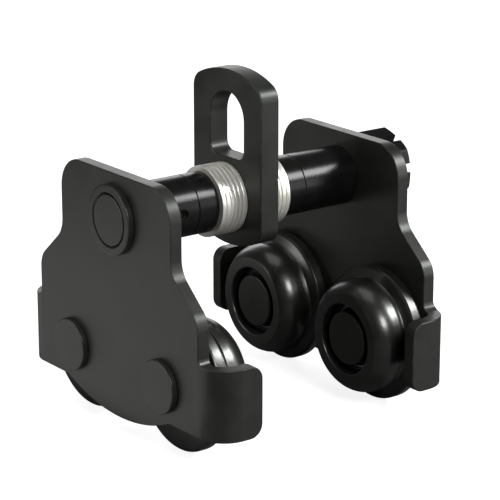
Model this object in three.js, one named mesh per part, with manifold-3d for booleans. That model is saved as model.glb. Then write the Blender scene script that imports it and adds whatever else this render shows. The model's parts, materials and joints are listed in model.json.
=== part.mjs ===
// Push trolley for an I-beam: two cup-shaped side plates with flanged wheels on their inner faces,
// drawn together by one suspension shaft that carries sleeves, adjusting washers and a hanger plate.
//
// Millimetres, +Z up, standing on the four wheel flanges. X runs along the suspension shaft from the
// head end to the nut end, Y runs along the beam, and the origin is the middle of the footprint.

import * as THREE from "three";
import { mergeVertices } from "three/addons/utils/BufferGeometryUtils.js";
import Module from "manifold-3d";

const wasm = await Module();
wasm.setup();

// ---- driving dimensions ----

const GAP = 0.3;

// side plates
const PLATE_THICKNESS = 8;
const PLATE_INNER_X = 77.5;
const PLATE_OUTER_X = PLATE_INNER_X + PLATE_THICKNESS;
const PLATE_TOP = 27;
const NECK_HALF_WIDTH = 55;
const NECK_CORNER_RADIUS = 19;
const NECK_BOTTOM = -19;
const WAIST_RADIUS = 16;
const BODY_HALF_WIDTH = 80;
const SHOULDER_BOTTOM = -40.5;
const SHOULDER_RADIUS = 14;
const PLATE_BOTTOM = -107.5;
const LOBE_HALF_WIDTH = 52;
const LOBE_DEPTH = 11.2;

// bumper ears, bent inwards from both ends of a side plate
const EAR_TOP = -65.5;
const EAR_OUTER_Y = 98;
const EAR_BEND_RADIUS = EAR_OUTER_Y - BODY_HALF_WIDTH;
const EAR_LENGTH = 31;
const EAR_CORNER_RADIUS = 8;
const EAR_RELIEF_RADIUS = 4.5;

// suspension shaft
const SHAFT_RADIUS = 15;
const SHAFT_HEAD_PROUD = 4;
const THREAD_RADIUS = 13.5;
const SHAFT_TAIL = 35.5;
const SHAFT_BORE = SHAFT_RADIUS + GAP;
const HEAD_RING_RADIUS = 20.5;

// stack on the shaft, from each side plate to the hanger plate in the middle
const HANGER_THICKNESS = 13;
const WASHERS_PER_SIDE = 6;
const WASHER_PITCH = 3;
const WASHER_RADIUS = 21;
const SHORT_SLEEVE = 14;
const SLEEVE_RADIUS = 18;
const STACK_GAP = 0.2;
const SPRING_PIN_RADIUS = 3;
const SPRING_PIN_BORE = 1.7;
const SPRING_PIN_SLOT = 1.2;
const SPRING_PIN_X = -50.3;
const SPRING_PIN_SINK = 0.5;

// hanger plate
const HANGER_HALF_WIDTH = 33;
const HANGER_TOP = 76;
const HANGER_BOTTOM = -28.5;
const HANGER_ARCH_RISE = 9;
const HANGER_CORNER_RADIUS = 10;
const SLOT_HALF_WIDTH = 16;
const SLOT_BOTTOM = 24.3;
const SLOT_TOP = 63;
const SLOT_CORNER_RADIUS = 6;

// castellated nut and its washer
const NUT_WASHER_RADIUS = 22;
const NUT_WASHER_THICKNESS = 3;
const NUT_ACROSS_FLATS = 41;
const NUT_HEIGHT = 29;
const NUT_FACE_RADIUS = 20;
const NUT_CHAMFER = 2.1;
const NUT_SLOT_WIDTH = 5.5;
const NUT_SLOT_DEPTH = 8;
const NUT_TURN = 24;

// flanged wheels, measured as [distance from the side plate's inner face, radius]
const WHEEL_Y = 45.3;
const WHEEL_Z = -86.5;
const FLANGE_RADIUS = 40.7;
const WHEEL_BORE = 21.3;
const WHEEL_LIP = 18.6;
const GROOVE_START = 22.7;
const GROOVE_END = 25;
const GROOVE_RADIUS = 22.6;
const WHEEL_PROFILE = [
  [2.5, WHEEL_LIP],
  [2.5, 38.6],
  [4.2, FLANGE_RADIUS],
  [9.2, FLANGE_RADIUS],
  [10.2, 39.6],
  [13.6, 34.3],
  [18.0, 34.6],
  [24.0, 33.8],
  [28.5, 31.3],
  [31.3, 28.0],
  [31.3, WHEEL_BORE + 0.7],
  [30.6, WHEEL_BORE],
  [GROOVE_END, WHEEL_BORE],
  [GROOVE_END, GROOVE_RADIUS],
  [GROOVE_START, GROOVE_RADIUS],
  [GROOVE_START, WHEEL_BORE],
  [10.2, WHEEL_BORE],
  [10.2, WHEEL_LIP],
];

// deep-groove bearing in each wheel: 20 mm bore, 42 mm outside, 12 mm wide
const BEARING_BACK = 10.6;
const BEARING_WIDTH = 12;
const BEARING_BORE = 10.3;
const BEARING_OUTSIDE = 21;
const INNER_RACE_RADIUS = 13.2;
const OUTER_RACE_RADIUS = 17.8;
const BALL_CIRCLE_RADIUS = 15.5;
const BALL_RADIUS = 3;
const BALL_COUNT = 9;
const RACEWAY_DEPTH = 1.1;
const CAGE_HALF_WIDTH = 2.4;
const CAGE_HALF_DEPTH = 0.9;
const SHIELD_THICKNESS = 0.8;
const SNAP_RING_THICKNESS = 1.6;
const SNAP_RING_OUTSIDE = 22.2;
const SNAP_RING_INSIDE = 18.4;
const SNAP_RING_OPENING = 0.26;

// wheel pins and their retaining caps
const PIN_RADIUS = 10;
const PIN_HEAD_RADIUS = 15.7;
const PIN_HEAD_PROUD = 3.8;
const PIN_SHOULDER_RADIUS = 13;
const PIN_END = 27.4;
const CAP_RADIUS = 16.2;
const CAP_HUB_RADIUS = 12.6;
const CAP_HUB_START = BEARING_BACK + BEARING_WIDTH + GAP;
const CAP_DISC_START = 26.2;
const CAP_FRONT = 30;

// facets
const FINE = 24;
const COARSE = 16;
const FILLET_STEPS = 5;

const SHAFT_HEIGHT = FLANGE_RADIUS - WHEEL_Z;
const NUT_END_X = PLATE_OUTER_X + SHAFT_TAIL;
const HEAD_END_X = -PLATE_OUTER_X - SHAFT_HEAD_PROUD;
const MIDDLE_X = (NUT_END_X + HEAD_END_X) / 2;

// ---- materials ----

function paint(color, roughness, metalness) {
  return new THREE.MeshStandardMaterial({ color, roughness, metalness });
}

const blackPaint = paint(0x1d1e1c, 0.38, 0.2);
const blackWheel = paint(0x161715, 0.32, 0.3);
const blackOxide = paint(0x232326, 0.3, 0.75);
const zinc = paint(0xd9d8d0, 0.3, 0.9);
const bearingSteel = paint(0xb4b6b8, 0.22, 0.95);
const springSteel = paint(0x3a3b3d, 0.35, 0.85);

// ---- solids ----

// Closed solid of a geometry: shared corners merged and triangles with no area left out.
function toManifold(geometry) {
  const bare = geometry.clone();
  bare.deleteAttribute("normal");
  bare.deleteAttribute("uv");
  const merged = mergeVertices(bare, 1e-4);
  const index = merged.index.array;
  const kept = [];
  for (let i = 0; i < index.length; i += 3) {
    const [a, b, c] = [index[i], index[i + 1], index[i + 2]];
    if (a !== b && b !== c && c !== a) kept.push(a, b, c);
  }
  return new wasm.Manifold(new wasm.Mesh({
    numProp: 3,
    vertProperties: new Float32Array(merged.attributes.position.array),
    triVerts: new Uint32Array(kept),
  }));
}

function toGeometry(manifold) {
  const mesh = manifold.getMesh();
  const geometry = new THREE.BufferGeometry();
  geometry.setAttribute("position", new THREE.BufferAttribute(new Float32Array(mesh.vertProperties), 3));
  geometry.setIndex(new THREE.BufferAttribute(new Uint32Array(mesh.triVerts), 1));
  geometry.computeVertexNormals();
  return geometry;
}

function join(first, ...others) {
  return toGeometry(others.reduce((sum, next) => sum.add(toManifold(next)), toManifold(first)));
}

function cut(first, ...tools) {
  return toGeometry(tools.reduce((rest, tool) => rest.subtract(toManifold(tool)), toManifold(first)));
}

function mirroredY(geometry) {
  const mirror = geometry.clone().scale(1, -1, 1);
  const index = Array.from(mirror.index.array);
  for (let i = 0; i < index.length; i += 3) [index[i], index[i + 1]] = [index[i + 1], index[i]];
  mirror.setIndex(index);
  return mirror;
}

function common(first, ...others) {
  return toGeometry(others.reduce((rest, next) => rest.intersect(toManifold(next)), toManifold(first)));
}

// A turned piece whose axis is X. The profile is a list of [x, radius] points, in either direction.
function turned(profile, segments, closed = true) {
  const loop = profile.map(([x, radius]) => new THREE.Vector2(radius, x));
  if (THREE.ShapeUtils.area(loop) < 0) loop.reverse();
  if (closed) loop.push(loop[0].clone());
  return new THREE.LatheGeometry(loop, segments).rotateZ(-Math.PI / 2);
}

function tubePiece(start, end, inner, outer, segments) {
  return turned([[start, inner], [start, outer], [end, outer], [end, inner]], segments);
}

// Points of a loop whose corners are [u, v, radius]; a corner with no radius stays sharp.
function roundedLoop(corners) {
  const points = [];
  corners.forEach(([u, v, radius = 0], i) => {
    const corner = new THREE.Vector2(u, v);
    if (radius === 0) {
      points.push(corner);
      return;
    }
    const before = corners[(i + corners.length - 1) % corners.length];
    const after = corners[(i + 1) % corners.length];
    const back = new THREE.Vector2(before[0] - u, before[1] - v).normalize();
    const ahead = new THREE.Vector2(after[0] - u, after[1] - v).normalize();
    const half = Math.acos(back.dot(ahead)) / 2;
    const middle = back.clone().add(ahead).normalize();
    const centre = corner.clone().addScaledVector(middle, radius / Math.sin(half));
    const start = corner.clone().addScaledVector(back, radius / Math.tan(half)).sub(centre);
    const end = corner.clone().addScaledVector(ahead, radius / Math.tan(half)).sub(centre);
    const sweep = Math.atan2(start.cross(end), start.dot(end));
    for (let k = 0; k <= FILLET_STEPS; k += 1) {
      const turn = (sweep * k) / FILLET_STEPS;
      points.push(start.clone().rotateAround(new THREE.Vector2(), turn).add(centre));
    }
  });
  return points;
}

function circlePoints(u, v, radius, segments) {
  const points = [];
  for (let k = 0; k < segments; k += 1) {
    const turn = (2 * Math.PI * k) / segments;
    points.push(new THREE.Vector2(u + radius * Math.cos(turn), v + radius * Math.sin(turn)));
  }
  return points;
}

// Outline of a ring left open at angle 0, by the opening angle to each side.
function openRing(outerRadius, innerRadius, opening, steps) {
  const outer = [];
  const inner = [];
  for (let k = 0; k <= steps; k += 1) {
    const turn = opening + ((2 * Math.PI - 2 * opening) * k) / steps;
    outer.push(new THREE.Vector2(outerRadius * Math.cos(turn), outerRadius * Math.sin(turn)));
    inner.unshift(new THREE.Vector2(innerRadius * Math.cos(turn), innerRadius * Math.sin(turn)));
  }
  return [...outer, ...inner];
}

function extruded(outline, depth, holes = []) {
  const shape = new THREE.Shape(outline);
  shape.holes = holes.map((points) => new THREE.Path(points));
  return new THREE.ExtrudeGeometry(shape, { depth, bevelEnabled: false });
}

// An outline in Y and Z, given thickness along +X from x = 0.
function alongX(outline, depth, holes) {
  const turn = new THREE.Matrix4().set(0, 0, 1, 0, 1, 0, 0, 0, 0, 1, 0, 0, 0, 0, 0, 1);
  return extruded(outline, depth, holes).applyMatrix4(turn);
}

// An outline in X and Z, given thickness along Y from start to end.
function alongY(outline, start, end) {
  return extruded(outline, end - start).rotateX(Math.PI / 2).translate(0, end, 0);
}

// An outline in X and Y, given thickness along Z from start to end.
function alongZ(outline, start, end) {
  return extruded(outline, end - start).translate(0, 0, start);
}

// ---- side plate, outer face at x = 0 and inner face towards +X ----

function plateOutline() {
  const radius = (LOBE_HALF_WIDTH ** 2 + LOBE_DEPTH ** 2) / (2 * LOBE_DEPTH);
  const spread = Math.asin(LOBE_HALF_WIDTH / radius);
  const centreZ = PLATE_BOTTOM - LOBE_DEPTH + radius;
  const lobe = [];
  for (let k = 0; k <= 12; k += 1) {
    const turn = spread - (2 * spread * k) / 12;
    lobe.push([-radius * Math.sin(turn), centreZ - radius * Math.cos(turn)]);
  }
  return roundedLoop([
    [-BODY_HALF_WIDTH, PLATE_BOTTOM],
    ...lobe,
    [BODY_HALF_WIDTH, PLATE_BOTTOM],
    [BODY_HALF_WIDTH, SHOULDER_BOTTOM, SHOULDER_RADIUS],
    [NECK_HALF_WIDTH, NECK_BOTTOM, WAIST_RADIUS],
    [NECK_HALF_WIDTH, PLATE_TOP, NECK_CORNER_RADIUS],
    [-NECK_HALF_WIDTH, PLATE_TOP, NECK_CORNER_RADIUS],
    [-NECK_HALF_WIDTH, NECK_BOTTOM, WAIST_RADIUS],
    [-BODY_HALF_WIDTH, SHOULDER_BOTTOM, SHOULDER_RADIUS],
  ]);
}

function earGeometry() {
  const section = [];
  const innerRadius = EAR_BEND_RADIUS - PLATE_THICKNESS;
  const bend = (radius, turn) => new THREE.Vector2(
    EAR_BEND_RADIUS - radius * Math.cos(turn),
    BODY_HALF_WIDTH + radius * Math.sin(turn),
  );
  section.push(new THREE.Vector2(PLATE_THICKNESS, BODY_HALF_WIDTH - 1));
  section.push(new THREE.Vector2(0, BODY_HALF_WIDTH - 1));
  for (let k = 0; k <= 8; k += 1) section.push(bend(EAR_BEND_RADIUS, (Math.PI * k) / 16));
  section.push(new THREE.Vector2(EAR_LENGTH, EAR_OUTER_Y));
  section.push(new THREE.Vector2(EAR_LENGTH, EAR_OUTER_Y - PLATE_THICKNESS));
  for (let k = 8; k >= 0; k -= 1) section.push(bend(innerRadius, (Math.PI * k) / 16));
  const reliefTop = EAR_TOP + EAR_RELIEF_RADIUS;
  const sheet = alongZ(section.reverse(), PLATE_BOTTOM, reliefTop);
  const sideTrim = alongY(roundedLoop([
    [-5, PLATE_BOTTOM],
    [EAR_LENGTH, PLATE_BOTTOM, EAR_CORNER_RADIUS],
    [EAR_LENGTH, EAR_TOP, EAR_CORNER_RADIUS],
    [10, EAR_TOP],
    [10, reliefTop],
    [-5, reliefTop],
  ]), BODY_HALF_WIDTH - 5, EAR_OUTER_Y + 5);
  const faceTrim = alongX(roundedLoop([
    [BODY_HALF_WIDTH - 5, PLATE_BOTTOM],
    [EAR_OUTER_Y + 5, PLATE_BOTTOM],
    [EAR_OUTER_Y + 5, EAR_TOP],
    [BODY_HALF_WIDTH, EAR_TOP, EAR_RELIEF_RADIUS],
    [BODY_HALF_WIDTH, reliefTop],
    [BODY_HALF_WIDTH - 5, reliefTop],
  ]), EAR_LENGTH + 5).translate(-1, 0, 0);
  return common(sheet, sideTrim, faceTrim);
}

function sidePlateGeometry() {
  const flat = alongX(plateOutline(), PLATE_THICKNESS, [
    circlePoints(0, 0, SHAFT_BORE, FINE),
    circlePoints(-WHEEL_Y, WHEEL_Z, PIN_RADIUS + GAP, COARSE),
    circlePoints(WHEEL_Y, WHEEL_Z, PIN_RADIUS + GAP, COARSE),
  ]);
  const ear = earGeometry();
  return join(flat, ear, mirroredY(ear));
}

// ---- pieces on the suspension shaft, with the shaft axis along X at y = z = 0 ----

function crossHole(length) {
  const drill = new THREE.CylinderGeometry(SPRING_PIN_RADIUS + 0.15, SPRING_PIN_RADIUS + 0.15, length, 16);
  return drill.translate(SPRING_PIN_X, 0, 0);
}

function shaftGeometry() {
  const shaft = turned([
    [HEAD_END_X, 0],
    [HEAD_END_X, SHAFT_RADIUS - 0.8],
    [HEAD_END_X + 0.8, SHAFT_RADIUS],
    [PLATE_OUTER_X, SHAFT_RADIUS],
    [PLATE_OUTER_X, THREAD_RADIUS],
    [NUT_END_X - 1.5, THREAD_RADIUS],
    [NUT_END_X, THREAD_RADIUS - 1.5],
    [NUT_END_X, 0],
  ], FINE, false);
  return cut(shaft, crossHole(2 * SHAFT_RADIUS + 4));
}

function headRingGeometry() {
  return turned([
    [HEAD_END_X, SHAFT_RADIUS + 1.1],
    [HEAD_END_X, HEAD_RING_RADIUS - 0.7],
    [HEAD_END_X + 0.7, HEAD_RING_RADIUS],
    [-PLATE_OUTER_X - STACK_GAP, HEAD_RING_RADIUS],
    [-PLATE_OUTER_X - STACK_GAP, SHAFT_BORE],
    [HEAD_END_X + 0.8, SHAFT_BORE],
  ], FINE);
}

function sleeveGeometry(start, end) {
  return tubePiece(start, end, SHAFT_BORE, SLEEVE_RADIUS, FINE);
}

function springPinGeometry() {
  const half = SLEEVE_RADIUS - SPRING_PIN_SINK;
  const opening = Math.asin(SPRING_PIN_SLOT / 2 / SPRING_PIN_RADIUS);
  const outline = openRing(SPRING_PIN_RADIUS, SPRING_PIN_BORE, opening, 14);
  return alongY(outline, -half, half).translate(SPRING_PIN_X, 0, 0);
}

function hangerGeometry() {
  const radius = (HANGER_HALF_WIDTH ** 2 + HANGER_ARCH_RISE ** 2) / (2 * HANGER_ARCH_RISE);
  const spread = Math.asin(HANGER_HALF_WIDTH / radius);
  const corners = [];
  const arch = (end, sign) => {
    for (let k = 0; k <= 10; k += 1) {
      const turn = spread - (2 * spread * k) / 10;
      const edge = k === 0 || k === 10 ? HANGER_CORNER_RADIUS : 0;
      const drop = radius - radius * Math.cos(turn);
      corners.push([sign * radius * Math.sin(turn), end - sign * drop, edge]);
    }
  };
  arch(HANGER_TOP, 1);
  arch(HANGER_BOTTOM, -1);
  const slotCorners = [
    [-SLOT_HALF_WIDTH, SLOT_BOTTOM, SLOT_CORNER_RADIUS],
    [SLOT_HALF_WIDTH, SLOT_BOTTOM, SLOT_CORNER_RADIUS],
  ];
  for (let k = 0; k <= 12; k += 1) {
    const turn = (Math.PI * k) / 12;
    slotCorners.push([
      SLOT_HALF_WIDTH * Math.cos(turn),
      SLOT_TOP - SLOT_HALF_WIDTH + SLOT_HALF_WIDTH * Math.sin(turn),
    ]);
  }
  const slot = roundedLoop(slotCorners);
  const outline = roundedLoop(corners);
  const bore = circlePoints(0, 0, SHAFT_BORE, FINE);
  return alongX(outline, HANGER_THICKNESS, [slot, bore]).translate(-HANGER_THICKNESS / 2, 0, 0);
}

// Slotted nut: six slots through the middles of its flats, left between six corner teeth.
function castleNutGeometry(start) {
  const end = start + NUT_HEIGHT;
  const corner = NUT_ACROSS_FLATS / Math.sqrt(3);
  const hex = circlePoints(0, 0, corner, 6);
  const bore = circlePoints(0, 0, THREAD_RADIUS + GAP, COARSE);
  const body = alongX(hex, NUT_HEIGHT, [bore]).translate(start, 0, 0);
  const chamfer = turned([
    [start, 0],
    [start, NUT_FACE_RADIUS],
    [start + NUT_CHAMFER, corner + 0.5],
    [end - NUT_CHAMFER, corner + 0.5],
    [end, NUT_FACE_RADIUS],
    [end, 0],
  ], 2 * FINE, false);
  const slots = [];
  for (let k = 0; k < 3; k += 1) {
    const slot = new THREE.BoxGeometry(2 * NUT_SLOT_DEPTH, NUT_SLOT_WIDTH, 3 * corner);
    slots.push(slot.translate(end, 0, 0).rotateX((Math.PI * k) / 3));
  }
  return cut(common(body, chamfer), ...slots).rotateX((NUT_TURN * Math.PI) / 180);
}

// ---- wheel unit, with the axle along X and x measured from the side plate's inner face ----

function bearingRace(rim, groove, bore) {
  const middle = BEARING_BACK + BEARING_WIDTH / 2;
  const reach = 3;
  return turned([
    [BEARING_BACK, bore],
    [BEARING_BACK, rim],
    [middle - reach, rim],
    [middle - reach / 2, groove],
    [middle + reach / 2, groove],
    [middle + reach, rim],
    [BEARING_BACK + BEARING_WIDTH, rim],
    [BEARING_BACK + BEARING_WIDTH, bore],
  ], COARSE);
}

function ballCageGeometry() {
  const middle = BEARING_BACK + BEARING_WIDTH / 2;
  const ring = tubePiece(
    middle - CAGE_HALF_WIDTH,
    middle + CAGE_HALF_WIDTH,
    BALL_CIRCLE_RADIUS - CAGE_HALF_DEPTH,
    BALL_CIRCLE_RADIUS + CAGE_HALF_DEPTH,
    2 * BALL_COUNT,
  );
  const balls = [];
  for (let k = 0; k < BALL_COUNT; k += 1) {
    const ball = new THREE.IcosahedronGeometry(BALL_RADIUS);
    balls.push(ball.translate(middle, 0, BALL_CIRCLE_RADIUS).rotateX((2 * Math.PI * k) / BALL_COUNT));
  }
  return join(ring, ...balls);
}

function shieldGeometry() {
  const front = BEARING_BACK + BEARING_WIDTH;
  return tubePiece(
    front - SHIELD_THICKNESS,
    front,
    INNER_RACE_RADIUS + GAP,
    OUTER_RACE_RADIUS - GAP,
    COARSE,
  );
}

function snapRingGeometry() {
  const outline = openRing(SNAP_RING_OUTSIDE, SNAP_RING_INSIDE, SNAP_RING_OPENING, COARSE);
  return alongX(outline, SNAP_RING_THICKNESS).translate(GROOVE_START + GAP, 0, 0);
}

function axlePinGeometry() {
  return turned([
    [-PLATE_THICKNESS - PIN_HEAD_PROUD, 0],
    [-PLATE_THICKNESS - PIN_HEAD_PROUD, PIN_HEAD_RADIUS - 0.7],
    [-PLATE_THICKNESS - PIN_HEAD_PROUD + 0.7, PIN_HEAD_RADIUS],
    [-PLATE_THICKNESS - STACK_GAP, PIN_HEAD_RADIUS],
    [-PLATE_THICKNESS - STACK_GAP, PIN_RADIUS],
    [STACK_GAP, PIN_RADIUS],
    [STACK_GAP, PIN_SHOULDER_RADIUS],
    [BEARING_BACK - GAP, PIN_SHOULDER_RADIUS],
    [BEARING_BACK - GAP, PIN_RADIUS],
    [PIN_END, PIN_RADIUS],
    [PIN_END, 0],
  ], COARSE, false);
}

function retainingCapGeometry() {
  return turned([
    [PIN_END + GAP, 0],
    [PIN_END + GAP, PIN_RADIUS + GAP],
    [CAP_HUB_START, PIN_RADIUS + GAP],
    [CAP_HUB_START, CAP_HUB_RADIUS],
    [CAP_DISC_START, CAP_HUB_RADIUS],
    [CAP_DISC_START, CAP_RADIUS],
    [CAP_FRONT - 0.8, CAP_RADIUS],
    [CAP_FRONT, CAP_RADIUS - 0.8],
    [CAP_FRONT, 0],
  ], COARSE, false);
}

// ---- assembly ----

function piece(name, geometry, material) {
  const mesh = new THREE.Mesh(geometry, material);
  mesh.name = name;
  return mesh;
}

const trolley = new THREE.Group();
trolley.position.set(-MIDDLE_X, 0, SHAFT_HEIGHT);

const sides = [["left", -1], ["right", 1]];

for (const [side, sign] of sides) {
  const half = new THREE.Group();
  half.rotation.z = sign > 0 ? Math.PI : 0;

  const plate = piece(`${side}_side_plate`, sidePlateGeometry(), blackPaint);
  plate.position.x = -PLATE_OUTER_X;
  half.add(plate);

  const stackStart = -PLATE_INNER_X + STACK_GAP;
  const washersStart = -HANGER_THICKNESS / 2 - WASHERS_PER_SIDE * WASHER_PITCH;
  const shortStart = washersStart - SHORT_SLEEVE;
  const longSleeve = sleeveGeometry(stackStart, shortStart - STACK_GAP);
  const drilled = sign < 0 ? cut(longSleeve, crossHole(2 * SLEEVE_RADIUS + 4)) : longSleeve;
  half.add(piece(`${side}_long_sleeve`, drilled, blackOxide));
  half.add(piece(`${side}_short_sleeve`, sleeveGeometry(shortStart, washersStart - STACK_GAP), blackOxide));

  for (let k = 0; k < WASHERS_PER_SIDE; k += 1) {
    const start = washersStart + k * WASHER_PITCH;
    const end = start + WASHER_PITCH - STACK_GAP;
    const washer = tubePiece(start, end, SHAFT_BORE, WASHER_RADIUS, COARSE);
    half.add(piece(`${side}_adjusting_washer_${k + 1}`, washer, zinc));
  }

  for (const [place, y] of [["front", -WHEEL_Y], ["rear", WHEEL_Y]]) {
    const unit = new THREE.Group();
    unit.position.set(-PLATE_INNER_X, -sign * y, WHEEL_Z);
    const label = `${side}_${place}`;
    unit.add(piece(`${label}_wheel`, turned(WHEEL_PROFILE, FINE), blackWheel));
    unit.add(piece(
      `${label}_bearing_outer_race`,
      bearingRace(OUTER_RACE_RADIUS, OUTER_RACE_RADIUS + RACEWAY_DEPTH, BEARING_OUTSIDE),
      bearingSteel,
    ));
    unit.add(piece(
      `${label}_bearing_inner_race`,
      bearingRace(INNER_RACE_RADIUS, INNER_RACE_RADIUS - RACEWAY_DEPTH, BEARING_BORE),
      bearingSteel,
    ));
    unit.add(piece(`${label}_ball_cage`, ballCageGeometry(), bearingSteel));
    unit.add(piece(`${label}_bearing_shield`, shieldGeometry(), springSteel));
    unit.add(piece(`${label}_snap_ring`, snapRingGeometry(), springSteel));
    unit.add(piece(`${label}_axle_pin`, axlePinGeometry(), blackOxide));
    unit.add(piece(`${label}_retaining_cap`, retainingCapGeometry(), blackPaint));
    half.add(unit);
  }

  trolley.add(half);
}

const nutWasherStart = PLATE_OUTER_X + STACK_GAP;
const nutWasherEnd = nutWasherStart + NUT_WASHER_THICKNESS;
trolley.add(piece("suspension_shaft", shaftGeometry(), blackOxide));
trolley.add(piece("shaft_head_ring", headRingGeometry(), blackPaint));
trolley.add(piece("sleeve_spring_pin", springPinGeometry(), springSteel));
trolley.add(piece("hanger_plate", hangerGeometry(), blackPaint));
trolley.add(piece(
  "nut_washer",
  tubePiece(nutWasherStart, nutWasherEnd, THREAD_RADIUS + GAP, NUT_WASHER_RADIUS, COARSE),
  blackOxide,
));
trolley.add(piece("castle_nut", castleNutGeometry(nutWasherEnd + STACK_GAP), blackOxide));

export default trolley;
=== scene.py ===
"""Looks of a push trolley for an I-beam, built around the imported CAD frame.

Shapes are worked out in millimetres and stored in metres, in the CAD frame.
"""

import json
import math

import bmesh
import bpy
from mathutils import Matrix, Vector
from mathutils.geometry import tessellate_polygon


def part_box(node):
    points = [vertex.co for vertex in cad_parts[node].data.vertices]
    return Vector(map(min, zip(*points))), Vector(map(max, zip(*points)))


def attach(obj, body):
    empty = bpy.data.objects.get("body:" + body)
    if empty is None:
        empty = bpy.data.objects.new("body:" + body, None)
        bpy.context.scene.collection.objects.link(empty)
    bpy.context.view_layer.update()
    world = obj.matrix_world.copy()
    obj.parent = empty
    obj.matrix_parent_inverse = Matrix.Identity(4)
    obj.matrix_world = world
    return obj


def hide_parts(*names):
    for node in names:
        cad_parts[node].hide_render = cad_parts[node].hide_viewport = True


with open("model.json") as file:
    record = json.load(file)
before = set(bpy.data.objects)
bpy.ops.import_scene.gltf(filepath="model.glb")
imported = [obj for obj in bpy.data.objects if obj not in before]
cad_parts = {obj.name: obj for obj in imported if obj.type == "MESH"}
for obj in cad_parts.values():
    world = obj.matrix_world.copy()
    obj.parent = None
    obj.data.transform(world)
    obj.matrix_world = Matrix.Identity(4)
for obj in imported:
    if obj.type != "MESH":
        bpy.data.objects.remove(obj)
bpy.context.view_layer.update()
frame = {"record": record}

MM = 0.001
TAU = 2 * math.pi

BODY_OF = {
    node: body
    for body, nodes in frame["record"]["behaviour"]["bodies"].items()
    for node in nodes
}
SLOT_OF = {
    part["node"]: part["material_slot"] for part in frame["record"]["subparts"]
}


def span(node):
    """Lowest and highest corners of a CAD node, in millimetres."""
    low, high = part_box(node)
    return low / MM, high / MM


SIDES = ("left", "right")
SHAFT_LOW, SHAFT_HIGH = span("suspension_shaft")
AXIS_Z = (SHAFT_LOW.z + SHAFT_HIGH.z) / 2
PLATE_THICKNESS = 8
PLATE_OUTER = {
    "left": span("left_side_plate")[0].x,
    "right": span("right_side_plate")[1].x,
}
SHAFT_RADIUS = 15
SHAFT_BORE = 15.3
PIN_RADIUS = 10
PIN_BORE = 10.3


def inward_of(side):
    """Direction along X from a side plate towards the middle of the trolley."""
    return 1 if side == "left" else -1


# ---- materials ----


def new_material(name, color, rough, metallic, specular=0.5):
    material = bpy.data.materials.new(name)
    material.use_nodes = True
    shader = material.node_tree.nodes["Principled BSDF"]
    shader.inputs["Base Color"].default_value = (*color, 1)
    shader.inputs["Roughness"].default_value = rough
    shader.inputs["Metallic"].default_value = metallic
    shader.inputs["Specular IOR Level"].default_value = specular
    return material, material.node_tree, shader


def add(tree, kind, **values):
    node = tree.nodes.new(kind)
    for key, value in values.items():
        setattr(node, key, value)
    return node


def noise(tree, source, scale, detail=3.0, rough=0.5):
    node = add(tree, "ShaderNodeTexNoise")
    node.inputs["Scale"].default_value = scale
    node.inputs["Detail"].default_value = detail
    node.inputs["Roughness"].default_value = rough
    tree.links.new(source, node.inputs["Vector"])
    return node.outputs["Fac"]


def remap(tree, source, low, high, to_low, to_high):
    node = add(tree, "ShaderNodeMapRange", clamp=True)
    for key, value in zip(
        ("From Min", "From Max", "To Min", "To Max"), (low, high, to_low, to_high)
    ):
        node.inputs[key].default_value = value
    tree.links.new(source, node.inputs["Value"])
    return node.outputs["Result"]


def math_node(tree, operation, first, second):
    node = add(tree, "ShaderNodeMath", operation=operation, use_clamp=True)
    for socket, value in zip(node.inputs, (first, second)):
        if isinstance(value, (int, float)):
            socket.default_value = value
        else:
            tree.links.new(value, socket)
    return node.outputs["Value"]


def blend_color(tree, factor, first, second):
    node = add(tree, "ShaderNodeMix", data_type="RGBA")
    tree.links.new(factor, node.inputs["Factor"])
    for socket, value in ((node.inputs[6], first), (node.inputs[7], second)):
        if isinstance(value, tuple):
            socket.default_value = (*value, 1)
        else:
            tree.links.new(value, socket)
    return node.outputs[2]


def place(tree):
    """Object coordinates, which are the CAD frame's because no piece is moved."""
    return add(tree, "ShaderNodeTexCoord").outputs["Object"]


def scaled(tree, source, scale):
    node = add(tree, "ShaderNodeMapping")
    node.inputs["Scale"].default_value = scale
    tree.links.new(source, node.inputs["Vector"])
    return node.outputs["Vector"]


def bump(tree, shader, height, strength, distance):
    node = add(tree, "ShaderNodeBump")
    node.inputs["Strength"].default_value = strength
    node.inputs["Distance"].default_value = distance
    tree.links.new(height, node.inputs["Height"])
    tree.links.new(node.outputs["Normal"], shader.inputs["Normal"])


def worn_edges(tree, coords, amount):
    """How far the coating has rubbed off: only along edges, in patches."""
    edge = add(tree, "ShaderNodeAttribute", attribute_name="edge").outputs["Fac"]
    patches = remap(tree, noise(tree, coords, 260, 4, 0.62), 0.5, 0.66, 0, 1)
    return math_node(
        tree, "MULTIPLY", math_node(tree, "MULTIPLY", edge, patches), amount
    )


def painted_steel(
    name, color, bare, rough, spread, grain, wear, specular=0.5, coat=0.0
):
    """Satin coating over steel, with a fine orange-peel texture and rubbed edges."""
    material, tree, shader = new_material(name, color, rough, 0.0, specular)
    coords = place(tree)
    rub = worn_edges(tree, coords, wear)
    cloud = noise(tree, coords, 38, 4, 0.55)
    light = tuple(min(1, 1.35 * c + 0.003) for c in color)
    dark = tuple(0.8 * c for c in color)
    shade = blend_color(tree, remap(tree, cloud, 0.3, 0.7, 0, 1), dark, light)
    tree.links.new(blend_color(tree, rub, shade, bare), shader.inputs["Base Color"])
    tree.links.new(
        remap(tree, cloud, 0.3, 0.7, rough - spread, rough + spread),
        shader.inputs["Roughness"],
    )
    shader.inputs["Specular Tint"].default_value = (0.97, 1, 0.94, 1)
    shader.inputs["Coat Weight"].default_value = coat
    shader.inputs["Coat Roughness"].default_value = 0.12
    bump(tree, shader, noise(tree, coords, grain, 2, 0.5), 0.22, 0.00004)
    return material


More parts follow.
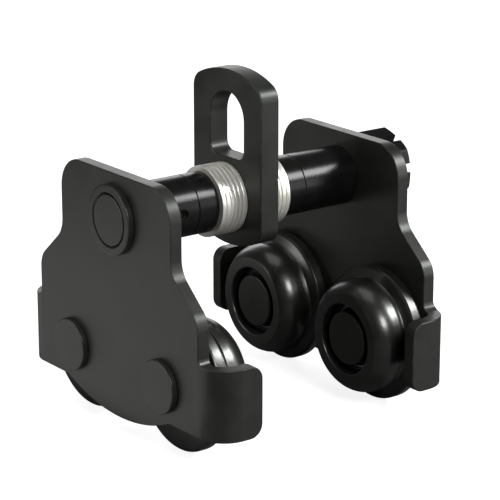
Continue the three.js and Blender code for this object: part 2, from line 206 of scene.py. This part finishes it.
def turned_steel(
    name, color, tint, rough, metallic, line_scale, depth, specular=0.5, streak=0.2
):
    """Machined steel with fine lathe lines round its axis, which runs along X."""
    material, tree, shader = new_material(name, color, rough, metallic, specular)
    coords = place(tree)
    lines = noise(tree, scaled(tree, coords, (line_scale, 14, 14)), 1, 3, 0.6)
    blot = noise(tree, coords, 120, 3, 0.55)
    mixed = blend_color(tree, remap(tree, blot, 0.35, 0.7, 0, 1), color, tint)
    rub = worn_edges(tree, coords, 0.5)
    bright = tuple(min(1, c * 2.2 + 0.05) for c in color)
    tree.links.new(blend_color(tree, rub, mixed, bright), shader.inputs["Base Color"])
    tree.links.new(
        remap(tree, lines, 0.3, 0.7, rough * (1 - streak), rough * (1 + streak)),
        shader.inputs["Roughness"],
    )
    bump(tree, shader, lines, 0.25, depth)
    return material


MATERIALS = {
    "black_paint": painted_steel(
        "satin_black_paint",
        color=(0.017, 0.0182, 0.0155),
        bare=(0.16, 0.16, 0.15),
        rough=0.38,
        spread=0.05,
        grain=1500,
        wear=0.2,
        specular=0.45,
    ),
    "black_wheel": painted_steel(
        "wheel_black",
        color=(0.0065, 0.007, 0.006),
        bare=(0.14, 0.14, 0.13),
        rough=0.31,
        spread=0.04,
        grain=900,
        wear=0.25,
        specular=0.9,
        coat=0.2,
    ),
    "black_oxide": turned_steel(
        "black_oxide_steel",
        color=(0.009, 0.009, 0.0085),
        tint=(0.006, 0.006, 0.006),
        rough=0.24,
        metallic=0.1,
        line_scale=1400,
        depth=0.000002,
        specular=0.24,
        streak=0.06,
    ),
    "zinc": turned_steel(
        "bright_zinc",
        color=(0.98, 0.97, 0.93),
        tint=(0.88, 0.85, 0.76),
        rough=0.33,
        metallic=0.62,
        line_scale=5000,
        depth=0.00002,
    ),
    "bearing_steel": turned_steel(
        "ground_bearing_steel",
        color=(0.55, 0.56, 0.57),
        tint=(0.5, 0.5, 0.5),
        rough=0.16,
        metallic=1.0,
        line_scale=4000,
        depth=0.00001,
    ),
    "spring_steel": turned_steel(
        "phosphated_spring_steel",
        color=(0.007, 0.007, 0.007),
        tint=(0.005, 0.005, 0.005),
        rough=0.5,
        metallic=0.0,
        line_scale=3000,
        depth=0.00002,
        specular=0.25,
    ),
}


# ---- mesh building ----


def arc_corner(before, corner, after, radius, steps):
    """Points of the arc that rounds a 2D corner, each with how deep in the arc it is."""
    back = (before - corner).normalized()
    ahead = (after - corner).normalized()
    half = math.acos(max(-1, min(1, back.dot(ahead)))) / 2
    if half > math.pi / 2 - 0.01:
        return [(corner, 0.0)]
    reach = radius / math.tan(half)
    limit = 0.49 * min((before - corner).length, (after - corner).length)
    if reach > limit:
        radius *= limit / reach
        reach = limit
    centre = corner + (back + ahead).normalized() * (radius / math.sin(half))
    start = corner + back * reach - centre
    end = corner + ahead * reach - centre
    sweep = math.atan2(start.x * end.y - start.y * end.x, start.dot(end))
    points = []
    for k in range(steps + 1):
        turn = sweep * k / steps
        spun = Vector(
            (
                start.x * math.cos(turn) - start.y * math.sin(turn),
                start.x * math.sin(turn) + start.y * math.cos(turn),
            )
        )
        points.append((centre + spun, math.sin(math.pi * k / steps)))
    return points


def rounded(corners, steps=5, closed=True):
    """2D points of a path whose corners are (u, v, radius), with their edge weight."""
    points = []
    count = len(corners)
    for i, corner in enumerate(corners):
        here = Vector(corner[:2])
        radius = corner[2] if len(corner) > 2 else 0
        inner = closed or 0 < i < count - 1
        if not radius or not inner:
            points.append((here, 0.0))
            continue
        before = Vector(corners[i - 1][:2])
        after = Vector(corners[(i + 1) % count][:2])
        points += arc_corner(before, here, after, radius, steps)
    return points


def lathe(bm, profile, centre, closed=True, segments=96, steps=4):
    """Turns a profile of (x, radius, fillet) corners about an axis along X."""
    edge = bm.verts.layers.float.get("edge") or bm.verts.layers.float.new("edge")
    points = rounded(profile, steps, closed)
    rings = []
    for point, weight in points:
        ring = []
        for k in range(segments if point.y > 1e-6 else 1):
            turn = TAU * k / segments
            vert = bm.verts.new(
                (
                    point.x,
                    centre[0] + point.y * math.sin(turn),
                    centre[1] + point.y * math.cos(turn),
                )
            )
            vert[edge] = weight
            ring.append(vert)
        rings.append(ring)
    pairs = list(zip(rings, rings[1:] + rings[:1]))
    for first, second in pairs if closed else pairs[:-1]:
        for k in range(segments):
            following = (k + 1) % segments
            if len(first) == 1:
                bm.faces.new((first[0], second[following], second[k]))
            elif len(second) == 1:
                bm.faces.new((first[k], first[following], second[0]))
            else:
                bm.faces.new(
                    (first[k], first[following], second[following], second[k])
                )
    return bm


def offset_loop(points, distance):
    """The loop moved by distance to the left of its direction of travel."""
    moved = []
    count = len(points)
    for i, point in enumerate(points):
        first = (point - points[i - 1]).normalized()
        second = (points[(i + 1) % count] - point).normalized()
        tangent = first + second
        if tangent.length < 1e-9:
            tangent = second
        normal = Vector((-tangent.y, tangent.x)).normalized()
        side = Vector((-first.y, first.x))
        stretch = min(1.5, 1 / max(0.3, normal.dot(side)))
        moved.append(point + normal * distance * stretch)
    return moved


def loop_area(points):
    return sum(
        a.x * b.y - a.y * b.x for a, b in zip(points, points[1:] + points[:1])
    ) / 2


def sheet_solid(outline, holes, depth, edge_radius, steps=4, to_space=None):
    """A flat plate with rounded edges. Outlines are 2D loops, depth runs from 0."""
    bm = bmesh.new()
    edge = bm.verts.layers.float.new("edge")
    loops = [outline if loop_area(outline) > 0 else outline[::-1]]
    loops += [hole if loop_area(hole) < 0 else hole[::-1] for hole in holes]
    levels = []
    for k in range(steps + 1):
        turn = math.pi / 2 * k / steps
        inset = edge_radius * (1 - math.sin(turn))
        rise = edge_radius * (1 - math.cos(turn))
        levels.append((inset, rise, math.sin(2 * turn)))
    levels += [(i, depth - r, w) for i, r, w in reversed(levels)]
    caps = {0: [], len(levels) - 1: []}
    for loop in loops:
        rings = []
        for number, (inset, height, weight) in enumerate(levels):
            ring = []
            for point in offset_loop(loop, inset):
                vert = bm.verts.new((point.x, point.y, height))
                vert[edge] = weight
                ring.append(vert)
            rings.append(ring)
            if number in caps:
                caps[number].append(ring)
        for lower, upper in zip(rings, rings[1:]):
            for k in range(len(loop)):
                following = (k + 1) % len(loop)
                bm.faces.new((lower[k], lower[following], upper[following], upper[k]))
    for number, rings in caps.items():
        flat = [vert for ring in rings for vert in ring]
        triangles = tessellate_polygon([[vert.co.copy() for vert in ring] for ring in rings])
        for a, b, c in triangles:
            corners = (flat[a], flat[b], flat[c])
            bm.faces.new(corners)
    bmesh.ops.recalc_face_normals(bm, faces=bm.faces)
    if to_space:
        for vert in bm.verts:
            vert.co = to_space(vert.co)
    return bm


def circle(u, v, radius, count=64):
    return [
        Vector((u + radius * math.cos(TAU * k / count), v + radius * math.sin(TAU * k / count)))
        for k in range(count)
    ]


def carved(body, tool):
    """The body less the tool. Both are used up."""
    shapes = []
    for name, bm in (("body", body), ("tool", tool)):
        bmesh.ops.recalc_face_normals(bm, faces=bm.faces)
        mesh = bpy.data.meshes.new(name)
        bm.to_mesh(mesh)
        bm.free()
        shapes.append(bpy.data.objects.new(name, mesh))
        bpy.context.scene.collection.objects.link(shapes[-1])
    cut = shapes[0].modifiers.new("cut", "BOOLEAN")
    cut.object = shapes[1]
    cut.operation = "DIFFERENCE"
    cut.solver = "EXACT"
    view = bpy.context.evaluated_depsgraph_get()
    result = bmesh.new()
    result.from_object(shapes[0], view)
    for shape in shapes:
        mesh = shape.data
        bpy.data.objects.remove(shape)
        bpy.data.meshes.remove(mesh)
    return result


def make_piece(node, bm, sharp=40):
    """Stores a mesh worked out in millimetres as the piece that stands for a CAD node."""
    bmesh.ops.recalc_face_normals(bm, faces=bm.faces)
    limit = math.radians(sharp)
    for face in bm.faces:
        face.smooth = True
    for edge in bm.edges:
        edge.smooth = len(edge.link_faces) == 2 and edge.calc_face_angle(0) < limit
    bmesh.ops.scale(bm, vec=(MM, MM, MM), verts=bm.verts)
    name = f"{node}_fine"
    mesh = bpy.data.meshes.new(name)
    bm.to_mesh(mesh)
    bm.free()
    piece = bpy.data.objects.new(name, mesh)
    bpy.context.scene.collection.objects.link(piece)
    normals = piece.modifiers.new("weighted_normals", "WEIGHTED_NORMAL")
    normals.keep_sharp = True
    slot = SLOT_OF[node]
    mesh.materials.append(MATERIALS[slot])
    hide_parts(node)
    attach(piece, BODY_OF[node])


def lathe_piece(node, profile, centre, closed=True, segments=96):
    make_piece(node, lathe(bmesh.new(), profile, centre, closed, segments))


# ---- side plates ----

NECK = 55
BODY_HALF = 80
EAR_TOP = -65.5
PLATE_BOTTOM = -107.5
BEND_RADIUS = 18
BEND_LENGTH = (BEND_RADIUS - PLATE_THICKNESS / 2) * math.pi / 2
EAR_REACH = 31
EAR_END = BODY_HALF + BEND_LENGTH + EAR_REACH - BEND_RADIUS
BEND_CUTS = 15
PLATE_EDGE_RADIUS = 0.6
WHEEL_Y = 45.3
WHEEL_DROP = -86.5


def plate_outline():
    """Flat pattern of a side plate, before its ears are bent."""
    half_width, depth = 52, 11.2
    radius = (half_width**2 + depth**2) / (2 * depth)
    spread = math.asin(half_width / radius)
    lobe = []
    for k in range(33):
        turn = spread - 2 * spread * k / 32
        lobe.append(
            (
                -radius * math.sin(turn),
                PLATE_BOTTOM - depth + radius - radius * math.cos(turn),
            )
        )
    corners = [
        (-EAR_END, PLATE_BOTTOM, 8),
        (lobe[0][0], lobe[0][1], 6),
        *lobe[1:-1],
        (lobe[-1][0], lobe[-1][1], 6),
        (EAR_END, PLATE_BOTTOM, 8),
        (EAR_END, EAR_TOP, 8),
        (BODY_HALF, EAR_TOP, 4.5),
        (BODY_HALF, -40.5, 14),
        (NECK, -19, 16),
        (NECK, 27, 19),
        (-NECK, 27, 19),
        (-NECK, -19, 16),
        (-BODY_HALF, -40.5, 14),
        (-BODY_HALF, EAR_TOP, 4.5),
        (-EAR_END, EAR_TOP, 8),
    ]
    return [point for point, _ in rounded(corners, 10)]


def bend_ears(point, outer_x, inward):
    """Flat pattern to space: y past the body bends inwards with the ear."""
    y, z, depth = point
    past = abs(y) - BODY_HALF
    side = 1 if y > 0 else -1
    if past <= 0:
        x, y_bent = depth, abs(y)
    elif past < BEND_LENGTH:
        turn = past / (BEND_RADIUS - PLATE_THICKNESS / 2)
        reach = BEND_RADIUS - depth
        x = BEND_RADIUS - reach * math.cos(turn)
        y_bent = BODY_HALF + reach * math.sin(turn)
    else:
        x = BEND_RADIUS + past - BEND_LENGTH
        y_bent = BODY_HALF + BEND_RADIUS - depth
    return Vector((outer_x + inward * x, side * y_bent, AXIS_Z + z))


def side_plate(side):
    holes = [
        circle(0, 0, SHAFT_BORE),
        circle(-WHEEL_Y, WHEEL_DROP, PIN_BORE, 48),
        circle(WHEEL_Y, WHEEL_DROP, PIN_BORE, 48),
    ]
    bm = sheet_solid(plate_outline(), holes, PLATE_THICKNESS, PLATE_EDGE_RADIUS)
    for sign in (-1, 1):
        for k in range(BEND_CUTS):
            y = sign * (BODY_HALF + BEND_LENGTH * k / (BEND_CUTS - 1))
            bmesh.ops.bisect_plane(
                bm,
                geom=bm.verts[:] + bm.edges[:] + bm.faces[:],
                plane_co=(y, 0, 0),
                plane_no=(1, 0, 0),
            )
    for vert in bm.verts:
        vert.co = bend_ears(vert.co, PLATE_OUTER[side], inward_of(side))
    make_piece(f"{side}_side_plate", bm)


for side_name in SIDES:
    side_plate(side_name)


# ---- suspension shaft and what it carries ----

CENTRE = (0, AXIS_Z)
SLEEVE_RADIUS = 18
WASHER_RADIUS = 21
WASHER_EDGES = (0.4, 0.35, 0.95, 0.95, 0.7, 0.7)
SPRING_PIN_RADIUS = 3
CROSS_HOLE_RADIUS = 3.15


def threaded_shaft():
    low, high = SHAFT_LOW.x, SHAFT_HIGH.x
    shoulder = PLATE_OUTER["right"]
    bm = lathe(
        bmesh.new(),
        [
            (low, 0),
            (low, SHAFT_RADIUS, 0.9),
            (shoulder, SHAFT_RADIUS, 0.5),
            (shoulder, 12.4, 0.4),
            (shoulder + 2, 12.4),
            (shoulder + 2, 0),
        ],
        CENTRE,
        closed=False,
    )
    pitch, root, crest = 3.0, 12.1, 13.5
    segments, per_pitch = 72, 8
    start = shoulder + 1.5
    count = int((high - start) / pitch * per_pitch)
    rings = []
    edge = bm.verts.layers.float["edge"]
    for i in range(count + 1):
        x = start + (high - start) * i / count
        ring = []
        for k in range(segments):
            turn = TAU * k / segments
            phase = ((x - start) / pitch - k / segments) % 1
            height = 1 - abs(2 * phase - 1)
            radius = root + (crest - root) * min(1, max(0, 1.3 * height - 0.12))
            radius = min(radius, crest - max(0, x - high + 1.6))
            vert = bm.verts.new(
                (x, radius * math.sin(turn), AXIS_Z + radius * math.cos(turn))
            )
            vert[edge] = height**4
            ring.append(vert)
        rings.append(ring)
    for first, second in zip(rings, rings[1:]):
        for k in range(segments):
            following = (k + 1) % segments
            bm.faces.new((first[k], first[following], second[following], second[k]))
    bm.faces.new(rings[-1])
    bm.faces.new(rings[0][::-1])
    make_piece("suspension_shaft", bm, 50)


def tube_profile(low, high, inner, outer, fillet):
    return [
        (low, inner, fillet / 2),
        (low, outer, fillet),
        (high, outer, fillet),
        (high, inner, fillet / 2),
    ]


def long_sleeve(side):
    """Tube on the shaft. The left one has the spring pin's countersunk hole."""
    node = f"{side}_long_sleeve"
    low, high = span(node)
    profile = tube_profile(low.x, high.x, SHAFT_BORE, SLEEVE_RADIUS, 0.45)
    body = lathe(bmesh.new(), profile, CENTRE, segments=128)
    if side == "left":
        pin_low, pin_high = span("sleeve_spring_pin")
        sink, reach, flare = 17.2, 24, 10
        half = [(reach, 0), (reach, flare), (sink, CROSS_HOLE_RADIUS)]
        drill_profile = [(-x, radius) for x, radius in half] + half[::-1]
        drill = lathe(bmesh.new(), drill_profile, (0, 0), closed=False, segments=48)
        turn = Matrix.Rotation(math.pi / 2, 3, "Z")
        bmesh.ops.rotate(drill, verts=drill.verts, cent=(0, 0, 0), matrix=turn)
        place_at = ((pin_low.x + pin_high.x) / 2, 0, AXIS_Z)
        bmesh.ops.translate(drill, verts=drill.verts, vec=place_at)
        body = carved(body, drill)
    make_piece(node, body)


def spring_pin():
    """Rolled tube with a slot along it, set a little below the sleeve's surface."""
    node = "sleeve_spring_pin"
    low, high = span(node)
    x = (low.x + high.x) / 2
    opening = 0.2
    bore = 2.15
    spin = math.radians(140)
    sink = 0.8
    outer = [
        Vector((SPRING_PIN_RADIUS * math.cos(t), SPRING_PIN_RADIUS * math.sin(t)))
        for t in (opening + (TAU - 2 * opening) * k / 40 for k in range(41))
    ]
    inner = [point * (bore / SPRING_PIN_RADIUS) for point in reversed(outer)]

    def to_space(point):
        u = point.x * math.cos(spin) - point.y * math.sin(spin)
        v = point.x * math.sin(spin) + point.y * math.cos(spin)
        return Vector((x + u, low.y + sink + point.z, AXIS_Z + v))

    length = high.y - low.y - 2 * sink
    make_piece(node, sheet_solid(outer + inner, [], length, 0.3, 3, to_space))


threaded_shaft()
ring_low, ring_high = span("shaft_head_ring")
lathe_piece(
    "shaft_head_ring",
    [
        (ring_high.x, SHAFT_BORE),
        (ring_low.x + 1.2, SHAFT_BORE, 0.3),
        (ring_low.x, 16.3, 0.3),
        (ring_low.x, 20.5, 0.9),
        (ring_high.x, 20.5, 0.2),
    ],
    CENTRE,
    segments=128,
)
spring_pin()
for side_name in SIDES:
    long_sleeve(side_name)
    low, high = span(f"{side_name}_short_sleeve")
    lathe_piece(
        f"{side_name}_short_sleeve",
        tube_profile(low.x, high.x, SHAFT_BORE, SLEEVE_RADIUS, 0.45),
        CENTRE,
        segments=128,
    )
    for number, fillet in enumerate(WASHER_EDGES, 1):
        node = f"{side_name}_adjusting_washer_{number}"
        low, high = span(node)
        lathe_piece(
            node,
            tube_profile(low.x, high.x, SHAFT_BORE + 0.1, WASHER_RADIUS, fillet),
            CENTRE,
            segments=128,
        )


# ---- hanger plate ----


def arched_end(half_width, end, rise, fillet, sign):
    """Half of a strip's outline: one arched end with its two rounded corners.

    Its last points mirror the first ones, and sign is 1 for the upper end.
    """
    radius = (half_width**2 + rise**2) / (2 * rise)
    middle = end - sign * radius
    lift = math.sqrt((radius - fillet) ** 2 - (half_width - fillet) ** 2)
    spread = math.atan2(half_width - fillet, lift)
    points = []
    for k in range(13):
        turn = math.pi / 2 - (math.pi / 2 - spread) * k / 12
        points.append(
            (
                half_width - fillet + fillet * math.sin(turn),
                lift + fillet * math.cos(turn),
            )
        )
    for k in range(1, 24):
        turn = spread - 2 * spread * k / 24
        points.append((radius * math.sin(turn), radius * math.cos(turn)))
    points += [(-y, z) for y, z in reversed(points[:13])]
    return [Vector((sign * y, middle + sign * z)) for y, z in points]


def hanger_plate():
    low, high = span("hanger_plate")
    half_width, top, bottom, rise, fillet = 33, 76, -28.5, 9, 10
    outline = arched_end(half_width, top, rise, fillet, 1)
    outline += arched_end(half_width, bottom, rise, fillet, -1)
    half_eye, eye_bottom, eye_top, eye_corner = 16, 24.3, 63, 6
    corners = [(-half_eye, eye_bottom, eye_corner), (half_eye, eye_bottom, eye_corner)]
    for k in range(41):
        turn = math.pi * k / 40
        corners.append(
            (
                half_eye * math.cos(turn),
                eye_top - half_eye + half_eye * math.sin(turn),
            )
        )
    eye = [point for point, _ in rounded(corners, 10)]

    def to_space(point):
        return Vector((low.x + point.z, point.x, AXIS_Z + point.y))

    holes = [eye, circle(0, 0, SHAFT_BORE)]
    bm = sheet_solid(outline, holes, high.x - low.x, 0.9, 4, to_space)
    make_piece("hanger_plate", bm)


hanger_plate()


# ---- nut and its washer ----


NUT_ACROSS = 41
NUT_CORNER = NUT_ACROSS / math.sqrt(3)
NUT_FACE_RADIUS = 20
NUT_CHAMFER = 2.1
NUT_BORE = 13.8
NUT_TURN = math.radians(24)


def nut_body(start, end):
    """Hexagon with conical chamfers, on an axis through the origin."""
    segments = 180
    body = bmesh.new()
    edge = body.verts.layers.float.new("edge")
    chamfer_steps = [k / 6 for k in range(7)]
    cone = [
        (NUT_CHAMFER * k, NUT_FACE_RADIUS + (NUT_CORNER - NUT_FACE_RADIUS) * k)
        for k in chamfer_steps
    ]
    length = end - start
    levels = [
        (0, NUT_BORE + 0.9),
        *cone,
        *((length - x, limit) for x, limit in reversed(cone)),
        (length, NUT_BORE + 0.9),
        (length - 0.9, NUT_BORE),
        (0.9, NUT_BORE),
    ]
    rings = []
    for x, limit in levels:
        ring = []
        for k in range(segments):
            turn = TAU * k / segments
            nearest = (turn + math.pi / 6) % (math.pi / 3) - math.pi / 6
            rib = max(0, 1 - abs(abs(nearest) - math.pi / 6) / 0.06)
            radius = min(NUT_ACROSS / 2 / math.cos(nearest), NUT_CORNER - 0.25, limit)
            vert = body.verts.new((start + x, radius * math.sin(turn), radius * math.cos(turn)))
            vert[edge] = rib if limit > NUT_FACE_RADIUS else 0
            ring.append(vert)
        rings.append(ring)
    for first, second in zip(rings, rings[1:] + rings[:1]):
        for k in range(segments):
            following = (k + 1) % segments
            body.faces.new((first[k], first[following], second[following], second[k]))
    return body


def nut_slot(end, spin):
    """Cutter for one slot that runs right across the nut's outer face."""
    half_width, depth, corner = 2.75, 8, 1.2
    outline = [
        (depth, -half_width),
        (depth, half_width),
        (-depth, half_width, corner),
        (-depth, -half_width, corner),
    ]

    def to_space(point):
        return spin @ Vector((end + point.x, point.y, point.z - 2 * NUT_CORNER))

    path = [point for point, _ in rounded(outline, 5)]
    return sheet_solid(path, [], 4 * NUT_CORNER, 0.05, 1, to_space)


def castle_nut():
    low, high = span("castle_nut")
    body = nut_body(low.x, high.x)
    for k in range(3):
        spin = Matrix.Rotation(math.pi / 3 * k, 3, "X")
        body = carved(body, nut_slot(high.x, spin))
    turned_by = Matrix.Rotation(NUT_TURN, 3, "X")
    bmesh.ops.rotate(body, verts=body.verts, cent=(0, 0, 0), matrix=turned_by)
    bmesh.ops.translate(body, verts=body.verts, vec=(0, 0, AXIS_Z))
    make_piece("castle_nut", body, 28)


castle_nut()
low, high = span("nut_washer")
lathe_piece("nut_washer", tube_profile(low.x, high.x, 13.9, 22, 0.6), CENTRE)


# ---- wheel units, measured from the inner face of their side plate ----


def crown(start, radius, end, end_radius, steps=14):
    """Arc that leaves the tread level with the axle and drops to the front ring."""
    run, drop = end - start, radius - end_radius
    bend = (run**2 + drop**2) / (2 * drop)
    sweep = math.asin(run / bend)
    angles = [sweep * k / steps for k in range(1, steps)]
    return [
        (start + bend * math.sin(turn), radius - bend + bend * math.cos(turn))
        for turn in angles
    ]


# Profiles are (distance from the plate's inner face, radius, fillet).
WHEEL = [
    (2.5, 18.6, 0.4),
    (2.5, 40.7, 2.0),
    (9.3, 40.7, 0.4),
    (10.3, 39.4, 0.4),
    (12.0, 34.2, 1.6),
    (14.6, 33.6, 0.4),
    (15.2, 34.6, 0.4),
    (18.6, 34.6),
    *crown(18.6, 34.6, 31.3, 27.8),
    (31.3, 27.8, 0.5),
    (31.3, 21.3, 0.9),
    (25.0, 21.3),
    (25.0, 22.6),
    (22.7, 22.6),
    (22.7, 21.3),
    (10.2, 21.3),
    (10.2, 18.6, 0.3),
]
OUTER_RACE = [
    (10.6, 21, 0.6),
    (22.6, 21, 0.6),
    (22.6, 17.8, 0.3),
    (19.4, 17.8),
    (18.4, 18.5),
    (16.6, 18.9),
    (14.8, 18.5),
    (13.8, 17.8),
    (10.6, 17.8, 0.3),
]
INNER_RACE = [
    (10.6, PIN_BORE, 0.6),
    (22.6, PIN_BORE, 0.6),
    (22.6, 13.2, 0.3),
    (19.4, 13.2),
    (18.4, 12.5),
    (16.6, 12.1),
    (14.8, 12.5),
    (13.8, 13.2),
    (10.6, 13.2, 0.3),
]
SHIELD = [
    (21.8, 13.5),
    (22.3, 13.5, 0.2),
    (22.6, 14.4, 0.2),
    (22.6, 16.6, 0.2),
    (22.2, 17.5, 0.1),
    (21.8, 17.5),
]
PIN_HEAD_BACK = -PLATE_THICKNESS - 0.2
PIN_HEAD_FRONT = -PLATE_THICKNESS - 3.8
PIN = [
    (PIN_HEAD_FRONT, 0),
    (PIN_HEAD_FRONT, 15.7, 0.8),
    (PIN_HEAD_BACK, 15.7, 0.3),
    (PIN_HEAD_BACK, PIN_RADIUS),
    (0.2, PIN_RADIUS),
    (0.2, 13, 0.4),
    (10.3, 13, 0.4),
    (10.3, PIN_RADIUS),
    (27.4, PIN_RADIUS, 0.8),
    (27.4, 0),
]
CAP = [
    (27.7, 0),
    (27.7, PIN_BORE),
    (22.9, PIN_BORE),
    (22.9, 12.6, 0.3),
    (26.2, 12.6, 0.4),
    (26.2, 16.2, 0.4),
    (30.0, 16.2, 0.9),
    (30.0, 0),
]


BEARING_MIDDLE = 16.6
SNAP_RING_START = 23.0


def snap_ring_outline():
    """Open ring that widens inwards to a drilled lug at each end."""
    outer, inner = [], []
    opening = 0.26
    for k in range(65):
        turn = opening + (TAU - 2 * opening) * k / 64
        outer.append(Vector((22.2 * math.cos(turn), 22.2 * math.sin(turn))))
        near = min(turn - opening, TAU - opening - turn)
        lug = max(0.0, 1 - near / 0.22)
        radius = 19.3 - 2.2 * (1 - (1 - lug) ** 3 if lug else 0)
        inner.insert(0, Vector((radius * math.cos(turn), radius * math.sin(turn))))
    holes = [
        circle(19.4 * math.cos(s * 0.34), 19.4 * math.sin(s * 0.34), 0.9, 20)
        for s in (-1, 1)
    ]
    return outer + inner, holes


def ball_cage(node, at_x, centre):
    """Cage ring with its balls, which turn together about the wheel's axis."""
    half_width, inside, outside, fillet = 2.4, 14.6, 16.4, 0.3
    ball_circle, ball_count = 15.5, 9
    back, front = at_x(BEARING_MIDDLE - half_width), at_x(BEARING_MIDDLE + half_width)
    bm = lathe(
        bmesh.new(),
        [
            (back, inside, fillet),
            (back, outside, fillet),
            (front, outside, fillet),
            (front, inside, fillet),
        ],
        centre,
    )
    for number in range(ball_count):
        turn = TAU * number / ball_count
        spot = Vector(
            (
                at_x(BEARING_MIDDLE),
                centre[0] + ball_circle * math.sin(turn),
                centre[1] + ball_circle * math.cos(turn),
            )
        )
        bmesh.ops.create_uvsphere(
            bm,
            u_segments=24,
            v_segments=14,
            radius=3,
            matrix=Matrix.Translation(spot),
        )
    make_piece(node, bm)


def wheel_unit(side, place_name):
    """One wheel with its bearing, pin and cap, placed by the CAD wheel's box."""
    inward = inward_of(side)
    inner_face = PLATE_OUTER[side] + inward * PLATE_THICKNESS
    label = f"{side}_{place_name}"
    low, high = span(f"{label}_wheel")
    centre = ((low.y + high.y) / 2, (low.z + high.z) / 2)

    def at_x(distance):
        return inner_face + inward * distance

    def turned(profile):
        return [(at_x(corner[0]), *corner[1:]) for corner in profile]

    lathe_piece(f"{label}_wheel", turned(WHEEL), centre, segments=160)
    lathe_piece(f"{label}_bearing_outer_race", turned(OUTER_RACE), centre)
    lathe_piece(f"{label}_bearing_inner_race", turned(INNER_RACE), centre)
    lathe_piece(f"{label}_bearing_shield", turned(SHIELD), centre)
    lathe_piece(f"{label}_axle_pin", turned(PIN), centre, closed=False)
    lathe_piece(f"{label}_retaining_cap", turned(CAP), centre, closed=False)
    ball_cage(f"{label}_ball_cage", at_x, centre)

    def to_space(point):
        x = at_x(SNAP_RING_START + point.z)
        return Vector((x, centre[0] - point.x, centre[1] + point.y))

    outline, holes = snap_ring_outline()
    ring = sheet_solid(outline, holes, 1.6, 0.3, 3, to_space)
    make_piece(f"{label}_snap_ring", ring)


for side_name in SIDES:
    for place_name in ("front", "rear"):
        wheel_unit(side_name, place_name)


# ---- floor, light and camera ----

FLOOR_BOUNCE = (0.12, 0.12, 0.12)


def make_floor():
    """A white sheet. Light that it throws back on the object is held down."""
    material, tree, shader = new_material("pale_floor", (0.5, 0.5, 0.5), 0.6, 0.0, 0.2)
    seen = add(tree, "ShaderNodeLightPath").outputs["Is Camera Ray"]
    color = blend_color(tree, seen, FLOOR_BOUNCE, (0.55, 0.55, 0.55))
    tree.links.new(color, shader.inputs["Base Color"])
    shader.inputs["Emission Color"].default_value = (1, 1, 1, 1)
    tree.links.new(
        remap(tree, seen, 0, 1, 0, 0.85), shader.inputs["Emission Strength"]
    )
    fine = noise(tree, place(tree), 30, 3)
    tree.links.new(remap(tree, fine, 0.3, 0.7, 0.55, 0.65), shader.inputs["Roughness"])
    bm = bmesh.new()
    bmesh.ops.create_grid(bm, x_segments=2, y_segments=2, size=12)
    mesh = bpy.data.meshes.new("floor")
    bm.to_mesh(mesh)
    bm.free()
    mesh.materials.append(material)
    floor = bpy.data.objects.new("floor", mesh)
    floor.location.z = -0.0003
    bpy.context.scene.collection.objects.link(floor)


def area_light(name, spot, target, size, power):
    data = bpy.data.lights.new(name, "AREA")
    data.shape = "RECTANGLE"
    data.size, data.size_y = size
    data.energy = power
    light = bpy.data.objects.new(name, data)
    light.location = spot
    direction = Vector(target) - Vector(spot)
    light.rotation_euler = direction.to_track_quat("-Z", "Y").to_euler()
    light.visible_camera = False
    bpy.context.scene.collection.objects.link(light)


def make_world():
    """White where the camera sees it, and dim as a light on the object."""
    world = bpy.data.worlds.new("studio")
    world.use_nodes = True
    bpy.context.scene.world = world
    tree = world.node_tree
    background = tree.nodes["Background"]
    background.inputs["Color"].default_value = (1, 1, 1, 1)
    seen = add(tree, "ShaderNodeLightPath").outputs["Is Camera Ray"]
    strength = remap(tree, seen, 0, 1, 0.06, 1.0)
    tree.links.new(strength, background.inputs["Strength"])


make_floor()
make_world()
MIDDLE = (0, 0, 0.1)
LOW_CARD = (-0.3, 0.2, 0.004)
area_light("left", (-1.1, 0.35, 0.35), MIDDLE, (0.9, 0.5), 5)
area_light("low_left", LOW_CARD, (*LOW_CARD[:2], 1), (0.38, 0.5), 0.34)
area_light("over_camera", (-0.24, -1.1, 0.82), MIDDLE, (0.42, 0.42), 8.5)
area_light("front_right", (0.75, -0.72, 0.85), MIDDLE, (0.38, 0.38), 12)
area_light("right", (1.0, -1.0, 0.25), MIDDLE, (0.6, 0.6), 3.5)
area_light("top", (-0.15, 0.2, 1.5), MIDDLE, (0.9, 0.9), 2.5)
area_light("back", (0.9, 1.3, 0.55), MIDDLE, (1.6, 0.7), 7)
bpy.context.scene.view_settings.view_transform = "Standard"

camera_data = bpy.data.cameras.new("camera")
camera_data.sensor_width = 36
camera_data.lens = 158.5
camera_data.clip_start = 0.05
camera_data.clip_end = 60
camera = bpy.data.objects.new("camera", camera_data)
camera.location = (-0.7579, -0.9967, 0.4698)
camera.rotation_euler = (math.radians(90 - 16.85), 0, math.radians(-37.06))
bpy.context.scene.collection.objects.link(camera)
bpy.context.scene.camera = camera
